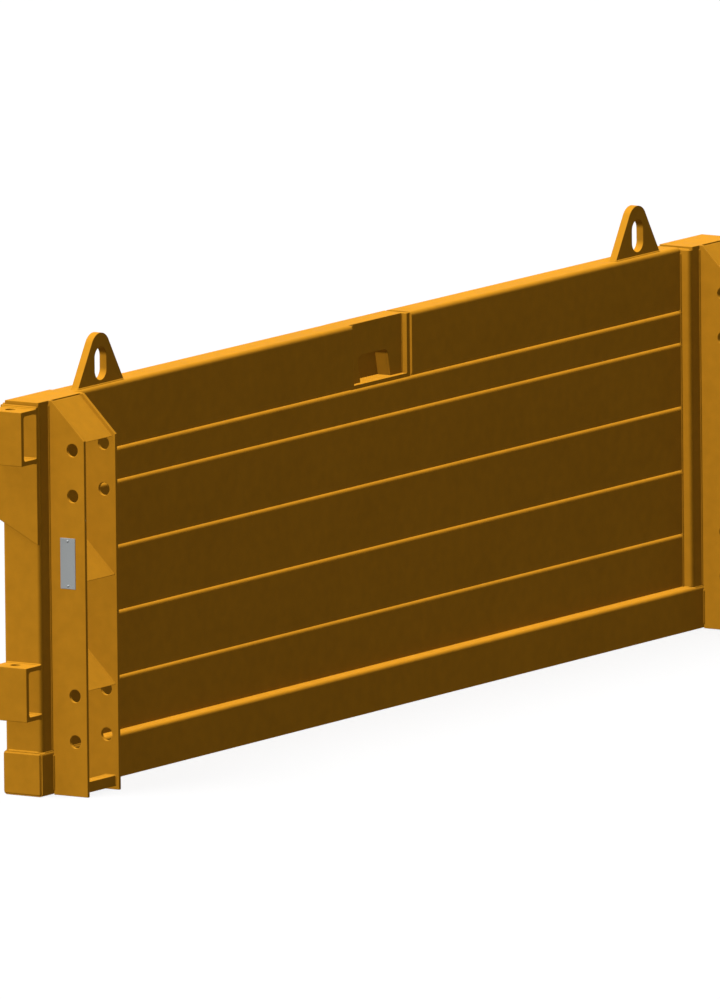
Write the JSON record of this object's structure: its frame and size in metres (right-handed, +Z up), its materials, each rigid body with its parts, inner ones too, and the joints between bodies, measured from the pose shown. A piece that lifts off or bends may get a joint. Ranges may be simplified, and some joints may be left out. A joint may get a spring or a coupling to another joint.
{
  "type": "trench shoring panel",
  "caption": "Welded steel shoring panel of stacked hollow sections between end posts, with strut brackets, lifting eyes and coupling lugs.",
  "frame": {"origin": "middle of the bottom rail's underside", "axes": "+X along the wall to the end without lugs, +Y away from the trench, +Z up"},
  "size_m": [4.046, 0.273, 1.3587],
  "materials": {
    "ochre_paint": "satin ochre-yellow paint over welded steel",
    "plate_grey": "bare grey metal, no lettering"
  },
  "bodies": {
    "root": {"bottom_rail": "ochre_paint", "bracket_cheek_inner_left": "ochre_paint", "bracket_cheek_inner_right": "ochre_paint", "bracket_cheek_outer_left": "ochre_paint", "bracket_cheek_outer_right": "ochre_paint", "bracket_foot_left": "ochre_paint", "bracket_foot_right": "ochre_paint", "bracket_roof_left": "ochre_paint", "bracket_roof_right": "ochre_paint", "bracket_shed_lower_left": "ochre_paint", "bracket_shed_lower_right": "ochre_paint", "bracket_shed_upper_left": "ochre_paint", "bracket_shed_upper_right": "ochre_paint", "identification_plate": "plate_grey", "lifting_eye_left": "ochre_paint", "lifting_eye_right": "ochre_paint", "lug_backing_plate": "ochre_paint", "lug_lower": "ochre_paint", "lug_upper": "ochre_paint", "niche_liner": "ochre_paint", "pocket_back": "ochre_paint", "pocket_cheek_left": "ochre_paint", "pocket_cheek_right": "ochre_paint", "pocket_floor": "ochre_paint", "pocket_rear": "ochre_paint", "pocket_top_strip": "ochre_paint", "post_cap_left": "ochre_paint", "post_cap_right": "ochre_paint", "post_head_left": "ochre_paint", "post_head_right": "ochre_paint", "post_left": "ochre_paint", "post_right": "ochre_paint", "rail_end_left": "ochre_paint", "rail_end_right": "ochre_paint", "top_tube_left": "ochre_paint", "top_tube_right": "ochre_paint", "wall_tube_1": "ochre_paint", "wall_tube_2": "ochre_paint", "wall_tube_3": "ochre_paint", "wall_tube_narrow": "ochre_paint", "wall_tube_sole": "ochre_paint"}
  },
  "joints": []
}
